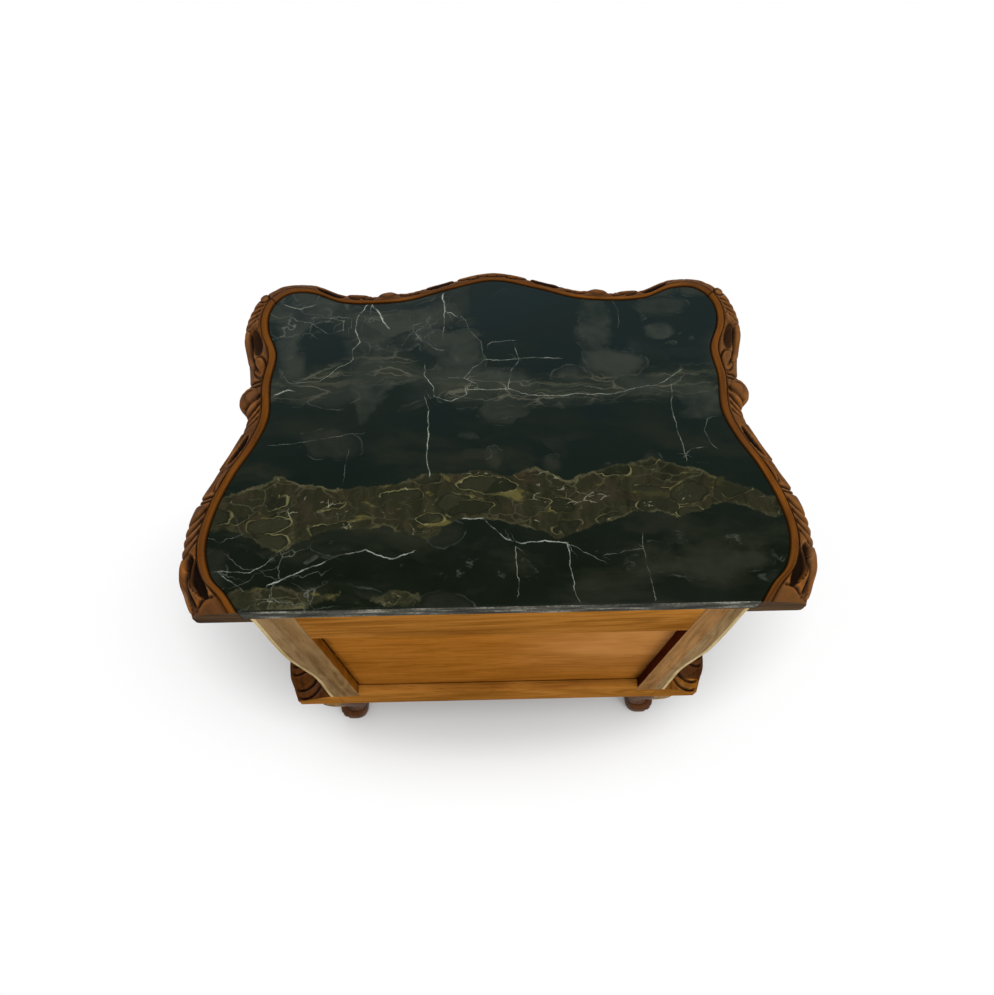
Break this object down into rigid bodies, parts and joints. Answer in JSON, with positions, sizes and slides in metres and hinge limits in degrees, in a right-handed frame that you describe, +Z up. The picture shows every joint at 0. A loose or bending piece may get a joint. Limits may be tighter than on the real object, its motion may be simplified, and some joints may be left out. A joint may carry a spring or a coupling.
{
  "type": "bedside pot cupboard",
  "caption": "Serpentine bedside cupboard: marble set in a carved walnut rim, drawer over a bowed locking door, cabriole legs.",
  "frame": {"origin": "centre of the footprint, on the floor", "axes": "+X along the width, +Y towards the back, +Z up; the drawer and door face -Y"},
  "size_m": [0.6, 0.398, 0.64],
  "materials": {
    "marble": "polished near-black green marble with gold and white veins",
    "carved_walnut": "carved walnut, waxed, dark in the grooves",
    "walnut": "polished walnut veneer",
    "back_wood": "plain honey-coloured wood, unpolished",
    "inner_wood": "plain pale wood, unfinished",
    "brass": "aged brass",
    "lock_steel": "old brushed steel"
  },
  "bodies": {
    "carcass": {"marble_top": "marble", "rim_front": "carved_walnut", "rim_left": "carved_walnut", "rim_right": "carved_walnut", "top_board": "inner_wood", "post_front_left": "walnut", "post_front_right": "walnut", "post_back_left": "back_wood", "post_back_right": "back_wood", "side_left": "walnut", "side_right": "walnut", "rail_top_front": "walnut", "rail_mid_front": "walnut", "rail_bottom_front": "walnut", "dust_board": "inner_wood", "drawer_guides": "inner_wood", "drawer_stops": "inner_wood", "back_rail_top": "back_wood", "back_rail_bottom": "back_wood", "back_panel": "back_wood", "base_front": "carved_walnut", "base_left": "carved_walnut", "base_right": "carved_walnut", "base_back": "back_wood", "cupboard_floor": "inner_wood", "corner_blocks": "inner_wood", "leg_front_left": "carved_walnut", "leg_front_right": "carved_walnut", "leg_back_left": "carved_walnut", "leg_back_right": "carved_walnut", "post_hinge_leaves": "brass", "hinge_pins": "brass", "strike_plate": "brass"},
    "drawer": {"drawer_front": "walnut", "drawer_bead": "carved_walnut", "drawer_side_left": "inner_wood", "drawer_side_right": "inner_wood", "drawer_back": "inner_wood", "drawer_bottom": "inner_wood", "pull_posts": "brass", "pull_nuts": "brass"},
    "bail": {"drawer_bail": "brass"},
    "door": {"door": "walnut", "door_bead": "carved_walnut", "door_hinge_leaves": "brass", "escutcheon": "brass", "lock_case": "lock_steel"},
    "key": {"door_key": "lock_steel"},
    "bolt": {"lock_bolt": "lock_steel"}
  },
  "joints": [
    {"name": "drawer_slide", "type": "slide", "parent": "carcass", "child": "drawer", "axis": [0, -1, 0], "range_m": [0, 0.2]},
    {"name": "bail_swing", "type": "hinge", "parent": "drawer", "child": "bail", "pos_m": [0, -0.16909, 0.55496], "axis": [-1, 0, 0], "range_deg": [0, 150]},
    {"name": "door_swing", "type": "hinge", "parent": "carcass", "child": "door", "pos_m": [-0.164, -0.1358, 0.3555], "axis": [0, 0, -1], "range_deg": [0, 110]},
    {"name": "key_turn", "type": "hinge", "parent": "door", "child": "key", "pos_m": [0.13, -0.1317, 0.3765], "axis": [0, -1, 0], "range_deg": [0, 90]},
    {"name": "bolt_slide", "type": "slide", "parent": "door", "child": "bolt", "axis": [1, 0, 0], "range_m": [0, 0.007]}
  ],
  "couplings": [
    {"joint": "bolt_slide", "follows": "key_turn", "m_per_rad": 0.004456}
  ]
}
